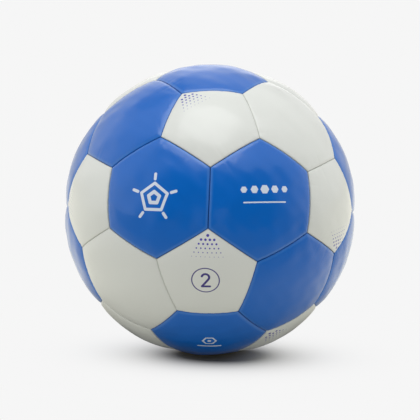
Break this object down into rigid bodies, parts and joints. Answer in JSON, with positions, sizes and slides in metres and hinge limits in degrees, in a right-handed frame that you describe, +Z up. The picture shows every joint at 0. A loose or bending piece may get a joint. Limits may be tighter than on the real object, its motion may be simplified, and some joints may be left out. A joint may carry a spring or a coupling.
{
  "type": "handball",
  "caption": "Inflatable ball of sewn blue and white hexagon and pentagon panels over foam, lining cloth and a rubber bladder, with a needle valve.",
  "frame": {"origin": "middle of the ball", "axes": "+Z up, through the middles of two opposite hexagon panels, the lower one being what the ball stands on; -Y is the front, where a seam between two blue hexagons runs up the middle"},
  "size_m": [0.1732, 0.1744, 0.175],
  "materials": {
    "blue_leather": "satin",
    "white_leather": "satin",
    "foam": "matte",
    "lining_cloth": "matte",
    "thread": "satin",
    "bladder_rubber": "satin",
    "valve_rubber": "satin",
    "core_rubber": "satin",
    "patch_rubber": "matte"
  },
  "bodies": {
    "ball": {"bladder": "bladder_rubber", "blue_hexagon_panel_01": "blue_leather", "blue_hexagon_panel_02": "blue_leather", "blue_hexagon_panel_03": "blue_leather", "blue_hexagon_panel_04": "blue_leather", "blue_hexagon_panel_05": "blue_leather", "blue_hexagon_panel_06": "blue_leather", "blue_hexagon_panel_07": "blue_leather", "blue_hexagon_panel_08": "blue_leather", "blue_hexagon_panel_09": "blue_leather", "blue_hexagon_panel_10": "blue_leather", "blue_hexagon_panel_11": "blue_leather", "blue_hexagon_panel_12": "blue_leather", "blue_hexagon_panel_13": "blue_leather", "blue_hexagon_panel_14": "blue_leather", "blue_hexagon_panel_15": "blue_leather", "blue_hexagon_panel_16": "blue_leather", "hexagon_foam_backings": "foam", "hexagon_linings": "lining_cloth", "pentagon_foam_backings": "foam", "pentagon_linings": "lining_cloth", "seam_thread": "thread", "valve_housing": "valve_rubber", "valve_patch": "patch_rubber", "white_hexagon_panel_01": "white_leather", "white_hexagon_panel_02": "white_leather", "white_hexagon_panel_03": "white_leather", "white_hexagon_panel_04": "white_leather", "white_pentagon_panel_01": "white_leather", "white_pentagon_panel_02": "white_leather", "white_pentagon_panel_03": "white_leather", "white_pentagon_panel_04": "white_leather", "white_pentagon_panel_05": "white_leather", "white_pentagon_panel_06": "white_leather", "white_pentagon_panel_07": "white_leather", "white_pentagon_panel_08": "white_leather", "white_pentagon_panel_09": "white_leather", "white_pentagon_panel_10": "white_leather", "white_pentagon_panel_11": "white_leather", "white_pentagon_panel_12": "white_leather"},
    "core": {"valve_core": "core_rubber"}
  },
  "joints": [
    {"name": "core_draw", "type": "slide", "parent": "ball", "child": "core", "axis": [-0.5774, 0.7454, 0.3333], "range_m": [0, 0.02]}
  ]
}
